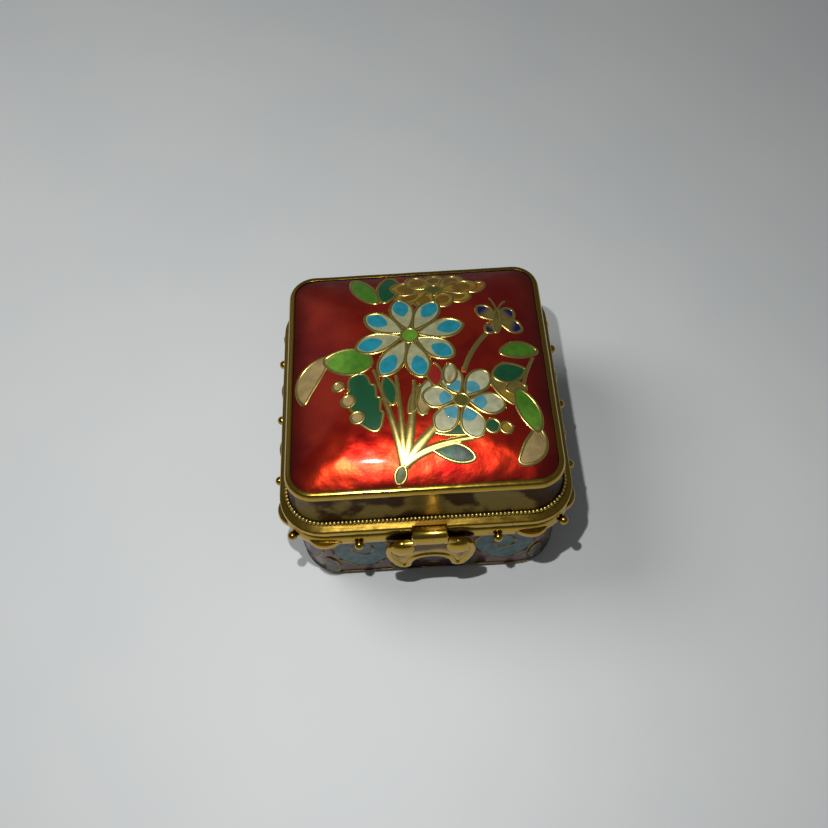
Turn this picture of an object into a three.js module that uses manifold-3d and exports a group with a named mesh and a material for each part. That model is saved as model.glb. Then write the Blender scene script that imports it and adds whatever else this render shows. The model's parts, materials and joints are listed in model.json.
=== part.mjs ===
// A small square trinket box: an enamelled copper bowl and a domed enamelled lid, each edged in gilt
// brass, joined at the back by a pinned hinge and shut at the front by a two-lobed clasp.
// Millimetres, +Z up, the clasp towards -Y, the origin at the centre of the flat underside.

import * as THREE from "three";
import { ParametricGeometry } from "three/addons/geometries/ParametricGeometry.js";
import { mergeVertices } from "three/addons/utils/BufferGeometryUtils.js";
import Module from "manifold-3d";

const wasm = await Module();
wasm.setup();

// ---- driving dimensions ----

// Half widths of the rounded squares that the box is turned up from, and their corner radii in plan.
const rimHalf = 20.8;
const rimCorner = 6.4;
const baseHalf = 19.4;
const baseCorner = 6;
const wallHalf = 18.7;
const wallCorner = 4;
const plaqueHalf = 18.1;
const plaqueCorner = 3;

// Heights.
const floorThick = 1.2;
const bowlTop = 13.3;
const partingHeight = 16.7;
const creaseHeight = 19.3;
const bezelFoot = 24.3;
const plaqueEdge = 25.8;
const domeRise = 3.3;

// Thicknesses and clearances.
const metal = 0.9;
const clearance = 0.3;
const cornerSteps = 7;

// Applied edging round the bowl's rim: granules and low lobes by turns.
const frontPitch = 4.9;
const sidePitch = 5.2;
const edgingHeight = 15;
const granuleRadius = 0.7;
const granuleProud = 0.5;
const lobeWidth = 4.4;
const lobeThick = 1;
const lobeProud = 0.7;

// Clasp, hung from the lid's rim in front of the bowl.
const claspX = 0.2;
const claspBack = 21.5;
const claspThick = 0.9;
const claspTop = 18.6;
const claspTip = 8.3;
const claspNeck = 2.5;
const lobeCentre = 3.9;
const shoulderHalf = 6.4;
const tipRadius = 1.2;
const bossRadius = 1.8;
const bossHeight = 14.9;

// Hinge.
const hingeX = -0.4;
const hingeY = 22.6;
const hingeZ = 18.8;
const barrelRadius = 1.5;
const boreRadius = 0.8;
const pinRadius = 0.6;
const lidKnuckleHalf = 2.6;
const bodyKnuckleInner = 3.35;
const bodyKnuckleOuter = 6.3;
const leafThick = 0.7;

// ---- rounded squares ----

// Corner number i of the ring that runs round a rounded square: each corner is an arc of cornerSteps
// steps, and the straight side to the next corner is one step.
const ringSteps = 4 * (cornerSteps + 1);

function ringCorner(half, radius, i) {
  const side = Math.floor(i / (cornerSteps + 1));
  const step = i - side * (cornerSteps + 1);
  const turn = (side + step / cornerSteps) * (Math.PI / 2);
  const quarter = (side + 0.5) * (Math.PI / 2);
  const centre = half - radius;
  return new THREE.Vector2(
    Math.sign(Math.cos(quarter)) * centre + radius * Math.cos(turn),
    Math.sign(Math.sin(quarter)) * centre + radius * Math.sin(turn),
  );
}

function ringPoint(half, radius, u) {
  const k = u * ringSteps;
  const from = Math.floor(k) % ringSteps;
  const to = (from + 1) % ringSteps;
  return ringCorner(half, radius, from).lerp(ringCorner(half, radius, to), k - Math.floor(k));
}

// A solid whose level cuts are rounded squares. The profile is a list of { half, z, radius } that runs
// so that the metal is on its left, and it closes on itself or starts and ends on the axis.
function squareTurned(profile) {
  const last = profile.length - 1;
  const surface = (u, v, target) => {
    const k = Math.min(Math.max(v, 0) * last, last);
    const i = Math.min(Math.floor(k), last - 1);
    const t = k - i;
    const half = THREE.MathUtils.lerp(profile[i].half, profile[i + 1].half, t);
    const radius = THREE.MathUtils.lerp(profile[i].radius, profile[i + 1].radius, t);
    const p = ringPoint(half, Math.min(radius, half), Math.min(Math.max(u, 0), 1));
    target.set(p.x, p.y, THREE.MathUtils.lerp(profile[i].z, profile[i + 1].z, t));
  };
  return new ParametricGeometry(surface, ringSteps, last);
}

const at = (half, z, radius) => ({ half, z, radius });

// ---- solids from geometries, and back ----

function solid(geometry) {
  const bare = geometry.clone();
  bare.deleteAttribute("normal");
  bare.deleteAttribute("uv");
  const merged = mergeVertices(bare, 1e-4);
  const index = merged.index.array;
  const kept = [];
  for (let i = 0; i < index.length; i += 3) {
    const [a, b, c] = [index[i], index[i + 1], index[i + 2]];
    if (a !== b && b !== c && c !== a) kept.push(a, b, c);
  }
  return new wasm.Manifold(
    new wasm.Mesh({
      numProp: 3,
      vertProperties: merged.attributes.position.array,
      triVerts: new Uint32Array(kept),
    }),
  );
}

function geometryOf(manifold) {
  const mesh = manifold.getMesh();
  const geometry = new THREE.BufferGeometry();
  geometry.setAttribute("position", new THREE.BufferAttribute(mesh.vertProperties, 3));
  geometry.setIndex(new THREE.BufferAttribute(mesh.triVerts, 1));
  return geometry;
}

const joined = (pieces) => pieces.map(solid).reduce((a, b) => a.add(b));

function box(x0, x1, y0, y1, z0, z1) {
  return new THREE.BoxGeometry(x1 - x0, y1 - y0, z1 - z0).translate(
    (x0 + x1) / 2,
    (y0 + y1) / 2,
    (z0 + z1) / 2,
  );
}

// ---- the bowl ----

// One shell of copper, with a flat floor and walls that lean out a little towards the top.
function bowlGeometry() {
  const top = baseHalf + 0.2;
  return squareTurned([
    at(0, 0, 0),
    at(baseHalf - 0.4, 0, baseCorner),
    at(baseHalf, 0.4, baseCorner),
    at(baseHalf + 0.1, bowlTop / 2, baseCorner),
    at(top, bowlTop, baseCorner),
    at(top - metal, bowlTop, baseCorner - metal),
    at(baseHalf - metal, floorThick + 1, baseCorner - metal),
    at(baseHalf - metal - 0.8, floorThick, baseCorner - metal),
    at(0, floorThick, 0),
  ]);
}

// Moves a piece made at the middle of the side towards +Y along the rim, by a distance measured on the
// rim's outside: straight at first, then round the corner.
function alongRim(geometry, distance, side) {
  const straight = rimHalf - rimCorner;
  const slid = THREE.MathUtils.clamp(distance, -straight, straight);
  const turn = (slid - distance) / rimCorner;
  return geometry
    .translate(0, -straight, 0)
    .rotateZ(turn)
    .translate(slid, straight, 0)
    .rotateZ((side * Math.PI) / 2);
}

// A granule of the edging, soldered to the rim by its inner side.
function granule() {
  return new THREE.SphereGeometry(granuleRadius, 8, 6).translate(0, rimHalf + granuleProud, edgingHeight);
}

// A low lobe of the edging: a flat segment of a disc, rooted in the rim.
function lobe() {
  const chord = lobeWidth / 2;
  const discRadius = (chord * chord + lobeProud * lobeProud) / (2 * lobeProud);
  const spread = Math.asin(chord / discRadius);
  const root = rimHalf - lobeProud;
  const shape = new THREE.Shape();
  shape.moveTo(chord, root);
  shape.absarc(0, rimHalf + lobeProud - discRadius, discRadius, Math.PI / 2 - spread, Math.PI / 2 + spread);
  shape.lineTo(-chord, root);
  return new THREE.ExtrudeGeometry(shape, {
    depth: lobeThick,
    curveSegments: 6,
    bevelEnabled: false,
  }).translate(0, 0, edgingHeight - lobeThick / 2);
}

// The brass rim on the bowl's edge. Its edging takes granules and lobes by turns, with a granule on
// each corner. The middle of the front and of the back stays bare for the clasp and the hinge.
function bowlRimGeometry() {
  const top = partingHeight - clearance / 2;
  const bottom = bowlTop + clearance;
  const inner = baseHalf + 0.2 - metal;
  const innerCorner = rimCorner - (rimHalf - inner);
  const band = squareTurned([
    at(inner, bottom, innerCorner),
    at(rimHalf - 0.5, bottom, rimCorner - 0.5),
    at(rimHalf - 0.05, bottom + 0.8, rimCorner),
    at(rimHalf, edgingHeight, rimCorner),
    at(rimHalf - 0.1, top - 0.6, rimCorner),
    at(rimHalf - 0.5, top, rimCorner - 0.5),
    at(inner, top, innerCorner),
    at(inner, bottom, innerCorner),
  ]);
  const corner = rimHalf - rimCorner + (rimCorner * Math.PI) / 4;
  const edging = [];
  for (let side = 0; side < 4; side += 1) {
    const bare = side % 2 === 0 ? 1 : -1;
    const pitch = side % 2 === 0 ? frontPitch : sidePitch;
    for (let k = -3; k <= 3; k += 1) {
      if (Math.abs(k) <= bare) continue;
      edging.push(alongRim(k % 2 === 0 ? granule() : lobe(), k * pitch, side));
    }
    edging.push(alongRim(granule(), corner, side));
  }
  return geometryOf(joined([band, ...edging]));
}

// ---- the lid ----

// The brass frame of the lid: a rounded rim at the parting line, a beaded wire in the crease above it,
// a hollow-curved wall, and a bezel with a ledge inside that carries the enamelled plaque.
function lidFrameGeometry() {
  const bottom = partingHeight + clearance / 2;
  const inner = wallHalf - metal;
  const seat = plaqueEdge - metal - clearance;
  const rimInner = rimHalf - 2 * metal;
  const bezelInner = plaqueHalf + clearance;
  return squareTurned([
    at(rimInner, bottom, rimCorner - 2 * metal),
    at(rimHalf - 0.4, bottom, rimCorner - 0.4),
    at(rimHalf, bottom + 0.6, rimCorner),
    at(rimHalf, bottom + 1.4, rimCorner),
    at(rimHalf - 0.4, creaseHeight - 0.7, rimCorner - 0.4),
    at(rimHalf - 0.9, creaseHeight - 0.3, rimCorner - 0.9),
    at(wallHalf + 0.9, creaseHeight, wallCorner + 1.4),
    at(wallHalf + 0.6, creaseHeight + 0.4, wallCorner + 1.2),
    at(wallHalf + 0.15, (creaseHeight + bezelFoot) / 2, wallCorner + 0.5),
    at(wallHalf, bezelFoot, wallCorner),
    at(wallHalf + 0.25, bezelFoot + 0.3, wallCorner),
    at(wallHalf + 0.3, plaqueEdge - 0.6, wallCorner),
    at(wallHalf, plaqueEdge - 0.1, wallCorner - 0.3),
    at(bezelInner + 0.1, plaqueEdge + 0.1, plaqueCorner + clearance),
    at(bezelInner, plaqueEdge, plaqueCorner + clearance),
    at(bezelInner, seat, plaqueCorner + clearance),
    at(inner - 0.8, seat, plaqueCorner - 0.4),
    at(inner - 0.8, seat - 0.8, plaqueCorner - 0.4),
    at(inner, seat - 1.6, plaqueCorner),
    at(inner, creaseHeight + 0.4, plaqueCorner),
    at(rimInner, creaseHeight - 0.8, rimCorner - 2 * metal),
    at(rimInner, bottom, rimCorner - 2 * metal),
  ]);
}

// Height of the cushion-shaped dome above its edge, where t runs from 0 at the edge to 1 at the middle.
const domeHeight = (t) => domeRise * (1 - (1 - t) ** 3);

// The enamelled copper plaque: a shallow shell, squarer at its edge than near its middle.
function plaqueGeometry() {
  const steps = [0, 0.06, 0.14, 0.24, 0.36, 0.5, 0.68, 1];
  const ring = (t, drop, inset) => {
    const half = (plaqueHalf - inset) * (1 - t);
    const radius = THREE.MathUtils.lerp(plaqueCorner - inset, half, t * t);
    return at(half, plaqueEdge + domeHeight(t) - drop, radius);
  };
  const underside = steps.map((t) => ring(t, metal, 0.3)).reverse();
  const top = steps.map((t) => ring(t, 0, 0));
  return squareTurned([...underside, ...top]);
}

// ---- the clasp ----

// Front view of the clasp: a neck that comes down from the lid's rim, and two rounded lobes.
function claspOutline() {
  const shoulder = claspTop - 1.8;
  const lobeSide = claspTip + 5.4;
  const notch = claspTip + 3.6;
  const tipCentre = claspTip + tipRadius;
  const outline = new THREE.Shape();
  outline.moveTo(-claspNeck, claspTop);
  outline.lineTo(-claspNeck, shoulder);
  outline.quadraticCurveTo(-shoulderHalf, shoulder, -shoulderHalf, lobeSide);
  outline.absarc(-lobeCentre, tipCentre, tipRadius, 1.15 * Math.PI, 1.9 * Math.PI);
  outline.quadraticCurveTo(-claspNeck, notch, 0, notch);
  outline.quadraticCurveTo(claspNeck, notch, lobeCentre - tipRadius, tipCentre);
  outline.absarc(lobeCentre, tipCentre, tipRadius, 1.1 * Math.PI, 1.85 * Math.PI);
  outline.lineTo(shoulderHalf, lobeSide);
  outline.quadraticCurveTo(shoulderHalf, shoulder, claspNeck, shoulder);
  outline.lineTo(claspNeck, claspTop);
  return outline;
}

// The clasp: a plate with softened edges, a foot behind its neck for the solder, and a domed boss on
// each lobe.
function claspGeometry() {
  const bevel = 0.2;
  const plate = new THREE.ExtrudeGeometry(claspOutline(), {
    depth: claspThick - 2 * bevel,
    curveSegments: 5,
    bevelThickness: bevel,
    bevelSize: bevel,
    bevelOffset: -bevel,
    bevelSegments: 1,
  })
    .rotateX(Math.PI / 2)
    .translate(0, -claspBack - bevel, 0);
  const footBottom = partingHeight + clearance / 2 + 0.3;
  const foot = box(
    0.3 - claspNeck,
    claspNeck - 0.3,
    -claspBack - bevel,
    -rimHalf - clearance,
    footBottom,
    claspTop - 0.2,
  );
  const bosses = [-1, 1].map((side) =>
    new THREE.SphereGeometry(bossRadius, 12, 8)
      .scale(1, 0.55, 1)
      .translate(side * lobeCentre, bossRadius * 0.2 - claspBack - claspThick, bossHeight),
  );
  return geometryOf(joined([plate, foot, ...bosses])).translate(claspX, 0, 0);
}

// ---- the hinge ----

// Side view of a flat strap, extruded along X from x0 to x1. Points are [y, z] pairs.
function strap(points, x0, x1) {
  const side = new THREE.Shape(points.map(([y, z]) => new THREE.Vector2(y, z)));
  return new THREE.ExtrudeGeometry(side, { depth: x1 - x0, bevelEnabled: false })
    .rotateX(Math.PI / 2)
    .rotateZ(Math.PI / 2)
    .translate(x0, 0, 0);
}

// A round bar along X on the hinge's axis.
function bar(radius, x0, x1, sides) {
  return new THREE.CylinderGeometry(radius, radius, x1 - x0, sides)
    .rotateZ(Math.PI / 2)
    .translate((x0 + x1) / 2, hingeY, hingeZ);
}

// A leaf with its knuckles, bored through for the pin.
function boredGeometry(pieces) {
  const bore = solid(bar(boreRadius, -2 * bodyKnuckleOuter, 2 * bodyKnuckleOuter, 12));
  return geometryOf(joined(pieces).subtract(bore)).translate(hingeX, 0, 0);
}

// The pin through all three knuckles.
function pinGeometry() {
  return bar(pinRadius, -bodyKnuckleOuter, bodyKnuckleOuter, 12).translate(hingeX, 0, 0);
}

// The bowl's leaf: a plate on the back of the bowl's rim, and two arms that rise to the outer knuckles.
function bodyLeafGeometry() {
  const near = rimHalf + clearance;
  const far = near + leafThick;
  const low = bowlTop + 0.6;
  const high = partingHeight - 0.4;
  const plate = box(-bodyKnuckleOuter, bodyKnuckleOuter, near, far, low, high);
  const arm = [
    [near, low + 0.6],
    [far, low],
    [hingeY + 1, hingeZ - 1],
    [hingeY - 1.1, hingeZ],
    [near + 0.3, high],
    [near, high],
  ];
  const knuckles = [-1, 1].flatMap((side) => {
    const ends = [side * bodyKnuckleInner, side * bodyKnuckleOuter].sort((a, b) => a - b);
    return [strap(arm, ...ends), bar(barrelRadius, ...ends, 16)];
  });
  return boredGeometry([plate, ...knuckles]);
}

// The lid's leaf: a plate on the back of the lid's wall, and one arm back to the middle knuckle.
function lidLeafGeometry() {
  const near = wallHalf + 0.95 + clearance;
  const far = near + leafThick;
  const low = creaseHeight + 0.2;
  const side = [
    [near, low],
    [hingeY - 0.6, low - 0.4],
    [hingeY, hingeZ + 1.3],
    [hingeY - 1, low + 1.1],
    [far, low + 1.3],
    [far, low + 3],
    [near, low + 3.2],
  ];
  return boredGeometry([
    strap(side, -lidKnuckleHalf, lidKnuckleHalf),
    bar(barrelRadius, -lidKnuckleHalf, lidKnuckleHalf, 16),
  ]);
}

// ---- the assembled box ----

const brass = { color: 0x9c7d1e, roughness: 0.28, metalness: 1 };
const finishes = {
  giltBrass: () => new THREE.MeshStandardMaterial(brass),
  redEnamel: () => new THREE.MeshStandardMaterial({ color: 0x6e0a08, roughness: 0.12, metalness: 0.2 }),
  blueEnamel: () => new THREE.MeshStandardMaterial({ color: 0x3d7f8c, roughness: 0.15, metalness: 0.1 }),
};

const bowlGroup = new THREE.Group();
const lidGroup = new THREE.Group();
const trinketBox = new THREE.Group();
trinketBox.add(bowlGroup, lidGroup);

function place(group, name, geometry, finish) {
  const mesh = new THREE.Mesh(geometry, finish());
  mesh.name = name;
  group.add(mesh);
}

place(bowlGroup, "bowl", geometryOf(solid(bowlGeometry())), finishes.blueEnamel);
place(bowlGroup, "bowl_rim", bowlRimGeometry(), finishes.giltBrass);
place(bowlGroup, "hinge_bowl_leaf", bodyLeafGeometry(), finishes.giltBrass);
place(bowlGroup, "hinge_pin", pinGeometry(), finishes.giltBrass);
place(lidGroup, "lid_frame", geometryOf(solid(lidFrameGeometry())), finishes.giltBrass);
place(lidGroup, "lid_plaque", geometryOf(solid(plaqueGeometry())), finishes.redEnamel);
place(lidGroup, "hinge_lid_leaf", lidLeafGeometry(), finishes.giltBrass);
place(lidGroup, "clasp", claspGeometry(), finishes.giltBrass);

export default trinketBox;
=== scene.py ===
# %% [markdown]
# # A small enamelled box, cell by cell
# This lesson dresses a little square trinket box: a copper bowl and a cushion-shaped lid, both covered
# in glass enamel between gilt wires, with brass rims, a pinned hinge behind and a two-lobed clasp in
# front. Every piece is built as a mesh from a few measures, and every finish from procedural nodes.
# The frame is loaded first. It holds the plain solids with their true sizes, and we only dress them.

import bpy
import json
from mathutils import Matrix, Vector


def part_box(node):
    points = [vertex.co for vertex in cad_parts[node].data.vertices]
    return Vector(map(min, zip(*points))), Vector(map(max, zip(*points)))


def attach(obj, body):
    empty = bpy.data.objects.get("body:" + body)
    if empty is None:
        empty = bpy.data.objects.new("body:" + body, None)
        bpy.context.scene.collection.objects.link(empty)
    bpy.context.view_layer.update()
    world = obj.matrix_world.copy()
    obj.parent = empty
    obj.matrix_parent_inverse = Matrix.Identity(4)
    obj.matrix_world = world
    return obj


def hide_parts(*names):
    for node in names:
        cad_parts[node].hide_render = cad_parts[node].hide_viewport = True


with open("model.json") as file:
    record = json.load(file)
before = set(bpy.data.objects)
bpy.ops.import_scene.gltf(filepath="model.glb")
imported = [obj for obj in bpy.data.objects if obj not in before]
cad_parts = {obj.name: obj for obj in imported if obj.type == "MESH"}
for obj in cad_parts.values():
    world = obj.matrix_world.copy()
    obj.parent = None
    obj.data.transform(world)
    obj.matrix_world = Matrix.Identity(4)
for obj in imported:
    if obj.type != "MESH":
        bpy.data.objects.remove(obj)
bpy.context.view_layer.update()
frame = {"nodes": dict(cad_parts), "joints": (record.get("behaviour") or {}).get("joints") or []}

# %% [markdown]
# ## Measures
# A maker works in millimetres, so the whole lesson does too, and one number turns them into metres at
# the very end. The main measures are read off the frame: how wide the rims are, how high the bowl
# stands, where the dome starts. That way nothing has to be fitted by hand afterwards.

# %% Measures read from the frame
import json
import math

import bmesh
import bpy
import numpy as np
from mathutils import Matrix, Vector, noise
from mathutils.bvhtree import BVHTree

MM = 0.001


def measured(node):
    """Lowest and highest corner of a node of the frame, in millimetres."""
    low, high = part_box(node)
    return np.array(low) / MM, np.array(high) / MM


bowl_high = measured("bowl")[1]
rim_high = measured("bowl_rim")[1]
lid_low, lid_high = measured("lid_frame")
plaque_high = measured("lid_plaque")[1]
clasp_low, clasp_high = measured("clasp")
pin_high = measured("hinge_pin")[1]

rim_half = lid_high[0]
bowl_half = bowl_high[0]
bowl_top = bowl_high[2]
lid_foot = lid_low[2]
plaque_half = plaque_high[0]
metal = 0.9
dome_rise = 3.3
plaque_edge = plaque_high[2] - dome_rise
print("rims", round(rim_half, 2), "bowl", round(bowl_half, 2), "plaque", round(plaque_half, 2))

# %% [markdown]
# ## The camera
# The camera is made before anything else, because it decides which details matter. It looks steeply
# down on the front of the box from about 15 cm away, as someone does who has just put it on a table.
# We build its axes from three angles, so that the view can be read off the numbers.

# %% Camera
view_azimuth = math.radians(0.479)
view_elevation = math.radians(58.39)
view_roll = math.radians(-3.777)
view_distance = 154.01
looked_at = Vector((-1.15, 9.035, 0.0))

backward = Vector(
    (
        math.sin(view_azimuth) * math.cos(view_elevation),
        -math.cos(view_azimuth) * math.cos(view_elevation),
        math.sin(view_elevation),
    )
)
level = backward.cross(Vector((0, 0, 1))).normalized() * -1
upright = backward.cross(level)
across = level * math.cos(view_roll) + upright * math.sin(view_roll)
upward = upright * math.cos(view_roll) - level * math.sin(view_roll)

camera_data = bpy.data.cameras.new("table_view")
camera_data.lens = 38.72
camera_data.sensor_width = 36
camera_data.clip_start = 0.005
camera_data.clip_end = 10
camera = bpy.data.objects.new("table_view", camera_data)
bpy.context.scene.collection.objects.link(camera)
axes = Matrix((across, upward, backward)).transposed().to_4x4()
camera.matrix_world = Matrix.Translation((looked_at + backward * view_distance) * MM) @ axes
bpy.context.scene.camera = camera
print("camera at", [round(v / MM, 1) for v in camera.matrix_world.translation])

# %% [markdown]
# ## The lights
# Metal and glass only look like themselves when there is something to reflect. One small lamp close
# above the front left corner gives the glow inside the red enamel, the sparks on the brass and the
# clear shadow. A wide soft panel high on the left evens out the table, but is kept out of the mirror
# images. The rest is a dim room, painted onto the sky once there is a short hand for its nodes.

# %% Lights


def lamp(name, place, aim, power, size, tint=(1, 1, 1)):
    """A round area light, placed and aimed in millimetres."""
    data = bpy.data.lights.new(name, "AREA")
    data.shape = "DISK"
    data.size = size * MM
    data.energy = power
    data.color = tint
    made = bpy.data.objects.new(name, data)
    bpy.context.scene.collection.objects.link(made)
    turned = (Vector(aim) - Vector(place)).to_track_quat("-Z", "Y").to_matrix().to_4x4()
    made.matrix_world = Matrix.Translation(Vector(place) * MM) @ turned
    return made


lamp("near_lamp", (-13, -37, 137), (-16, -41, 0), power=0.094, size=2.6)
side_panel = lamp("side_panel", (-150, 60, 220), (80, 60, 0), power=0.31, size=150)
side_panel.visible_glossy = False

world = bpy.data.worlds.new("dim_room")
bpy.context.scene.world = world
world.use_nodes = True
bpy.context.scene.view_settings.view_transform = "Standard"

# %% [markdown]
# ## A short hand for shader nodes
# A finish is a small sum: take some noise, scale it, mix two colours by it. Wiring that up node by node
# hides the sum, so this class wraps one socket and lets us write it as Python. Plus, minus and times
# add Math nodes, `mixed` blends two colours, and `node` makes any other node.

# %% The socket wrapper


class Shade:
    """One value, colour or vector on its way through a material's nodes."""

    def __init__(self, tree, socket=None):
        self.tree = tree
        self.socket = socket

    def node(self, kind, settings=None, sockets=None, out=0):
        """Adds a node: its settings are set first, then each socket gets its value or link."""
        made = self.tree.nodes.new(kind)
        for name, value in (settings or {}).items():
            setattr(made, name, value)
        for name, value in (sockets or {}).items():
            if isinstance(value, Shade):
                self.tree.links.new(value.socket, made.inputs[name])
            else:
                made.inputs[name].default_value = value
        return Shade(self.tree, made.outputs[out])

    def math(self, operation, first, second):
        return self.node("ShaderNodeMath", {"operation": operation}, {0: first, 1: second})

    def __add__(self, other):
        return self.math("ADD", self, other)

    def __radd__(self, other):
        return self.math("ADD", other, self)

    def __sub__(self, other):
        return self.math("SUBTRACT", self, other)

    def __rsub__(self, other):
        return self.math("SUBTRACT", other, self)

    def __mul__(self, other):
        return self.math("MULTIPLY", self, other)

    def __rmul__(self, other):
        return self.math("MULTIPLY", other, self)

    def mixed(self, first, second, kind="MIX"):
        """Blends two colours, with this value as the amount of the second."""
        settings = {"data_type": "RGBA", "blend_type": kind}
        return self.node("ShaderNodeMix", settings, {0: self, 6: first, 7: second}, out=2)

    def between(self, low, high):
        """1 where this value is above high, 0 where it is below low, and smooth between."""
        settings = {"interpolation_type": "SMOOTHSTEP"}
        return self.node("ShaderNodeMapRange", settings, {0: self, 1: low, 2: high})

    def into(self, shader, name):
        """Feeds this into one of the shader's sockets."""
        self.tree.links.new(self.socket, shader.inputs[name])


def new_finish(name, **same_all_over):
    """A material, the start of its sums, and its shader with the values that don't change over it."""
    material = bpy.data.materials.new(name)
    material.use_nodes = True
    shader = material.node_tree.nodes["Principled BSDF"]
    for socket, value in same_all_over.items():
        shader.inputs[socket.replace("_", " ")].default_value = value
    return material, Shade(material.node_tree), shader


def rgb(red, green, blue):
    return (red, green, blue, 1)


def grain(start, size, detail=3, stretch=(1, 1, 1)):
    """Cloudy noise whose blotches are about `size` millimetres across."""
    place = start.node("ShaderNodeTexCoord", out="Object")
    place = start.node("ShaderNodeMapping", sockets={"Vector": place, "Scale": stretch})
    sockets = {"Vector": place, "Scale": 1 / (size * MM), "Detail": detail}
    return start.node("ShaderNodeTexNoise", sockets=sockets)


def dented(start, shader, height, strength, depth):
    """Turns a height into a slight relief of the surface, `depth` millimetres deep."""
    settings = {"Height": height, "Strength": strength, "Distance": depth * MM}
    start.node("ShaderNodeBump", sockets=settings).into(shader, "Normal")


print("shade helper ready")

# %% [markdown]
# ## The room
# The room gives the shadows their fill, and it is what the glass and the brass mirror. Real rooms are
# much darker overhead than the light they scatter, so the part that is mirrored is made dimmer than
# the part that lights. One soft pale patch behind on the left stands for a far window.

# %% Room light
room = Shade(world.node_tree)
towards = room.node("ShaderNodeTexCoord", out="Generated")
window_way = Vector((-0.49, 0.61, 0.62)).normalized()
dot_product = {"operation": "DOT_PRODUCT"}
facing = room.node("ShaderNodeVectorMath", dot_product, {0: towards, 1: window_way}, out="Value")
window = facing.between(0.94, 0.995) * 0.14
mirrored = room.node("ShaderNodeLightPath", out="Is Glossy Ray")
strength = 0.12 * (1 - mirrored) + (0.09 + window) * mirrored
background = world.node_tree.nodes["Background"]
background.inputs["Color"].default_value = (0.95, 0.98, 1.0, 1)
strength.into(background, "Strength")
print("the window lies towards", [round(v, 2) for v in window_way])

# %% [markdown]
# ## Gilt brass
# The rims, the clasp and the wires are brass with a thin gold wash. Handled for years, it is worn olive
# brown in cloudy patches. So two golds are mixed by a cloudy noise, for that wear, and by how hollow the
# place is, which is measured at the end and paints shade into the hollows. A finer noise makes the shine
# uneven, and a stretched one adds hairline rubbing marks. The lid's wall and the bowl's wires get darker
# copies as painted shade.

# %% Gilt brass finish


def gilt_brass(name, bright, dull, worn, patch=3.0, creased=1.5, start_at=0.75):
    material, start, shader = new_finish(name, Metallic=1.0)
    hollow = start.node("ShaderNodeAttribute", {"attribute_name": "hollow"}, out="Fac")
    cloud = grain(start, patch, 5)
    # The dull gold goes where the cloud lies, for wear, and where the place is hollow, as painted shade.
    wear_and_hollow_shade = (hollow * creased + cloud * 0.9).between(start_at, start_at + creased * 0.35 + 0.1)
    speck = grain(start, 0.35, 2).between(0.62, 0.72)
    colour = wear_and_hollow_shade.mixed(bright, dull)
    (speck * 0.5).mixed(colour, dull).into(shader, "Base Color")
    (worn + grain(start, 0.9, 4) * 0.16 + wear_and_hollow_shade * 0.12).into(shader, "Roughness")
    rubbing = grain(start, 0.25, 3, stretch=(0.12, 1, 1))
    dented(start, shader, rubbing * 0.4 + grain(start, 1.6, 3), 0.25, 0.05)
    return material


rim_gold = gilt_brass("gilt_brass", rgb(0.47, 0.30, 0.045), rgb(0.08, 0.038, 0.005), 0.12)
wire_gold = gilt_brass("gilt_wire", rgb(0.80, 0.62, 0.18), rgb(0.36, 0.26, 0.06), 0.22)
# The lid's wall and the bowl's wires get darker copies of the brass, mottled by a cloud: painted shade for
# places that lie in shade.
shade_and_mottle = {"patch": 5.0, "creased": 0.0, "start_at": 0.40}
wall_gold = gilt_brass("wall_brass_painted_shade", rgb(0.17, 0.115, 0.026), rgb(0.045, 0.020, 0.004), 0.32, **shade_and_mottle)
shade_and_mottle = {"patch": 2.0, "creased": 0.0, "start_at": 0.42}
wall_wire = gilt_brass("bowl_wire_painted_shade", rgb(0.22, 0.17, 0.05), rgb(0.07, 0.05, 0.012), 0.36, **shade_and_mottle)
print("brass finishes:", [gold.name for gold in (rim_gold, wire_gold, wall_gold, wall_wire)])

# %% [markdown]
# ## Red glass over bright metal
# The lid's ground is see-through red glass fired over crumpled silver foil. Light goes in through the
# smooth glass, is coloured, and comes back off the foil, so it is dark where nothing shines into it
# and glows where a lamp does. A red metal under a clear coat behaves the same way: the relief of the
# foil is on the metal alone, and the coat over it stays smooth. Where the glass lies thick it is darker.

# %% Red foil enamel finish


def foil_enamel(name, deep, light, coat=1.0):
    smooth_glass = {"Coat_Weight": coat, "Coat_Roughness": 0.03, "Coat_IOR": 1.42}
    material, start, shader = new_finish(name, Metallic=0.92, **smooth_glass)
    pooled = start.node("ShaderNodeAttribute", {"attribute_name": "glass"}, out="Fac")
    cloud = grain(start, 9.0, 3).between(0.3, 0.7)
    thin = grain(start, 2.2, 4).between(0.45, 0.75)
    colour = cloud.mixed(deep, light)
    colour = (thin * 0.3).mixed(colour, light)
    thick = rgb(*(0.2 * part for part in deep[:3]))
    (pooled * 0.75).mixed(colour, thick).into(shader, "Base Color")
    (0.24 + grain(start, 1.2, 3) * 0.1).into(shader, "Roughness")
    creases = grain(start, 7.0, 2) + grain(start, 1.8, 3) * 0.12 + grain(start, 0.5, 2) * 0.02
    dented(start, shader, creases, 1.0, 0.45)
    return material


red_ground = foil_enamel("red_foil_enamel", rgb(0.40, 0.005, 0.002), rgb(0.74, 0.040, 0.007))
# The bowl's ground is maroon, set much darker still as painted shade for its wall, which lies in shade under
# the rim.
maroon_ground = foil_enamel("maroon_foil_enamel", rgb(0.035, 0.004, 0.008), rgb(0.10, 0.008, 0.02), coat=0.15)
print("foil enamels:", red_ground.name, maroon_ground.name)

# %% [markdown]
# ## The other enamels
# Petals, leaves and wings are small cells filled with their own glass. Each cell carries its colours on
# its corners, as a painter would run one wet colour into the next, and one finish reads them. The glass
# is cloudy, has a few pinholes, and is polished flat on the lid, but left duller round the bowl.

# %% Cell enamel finish and counter enamel


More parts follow.
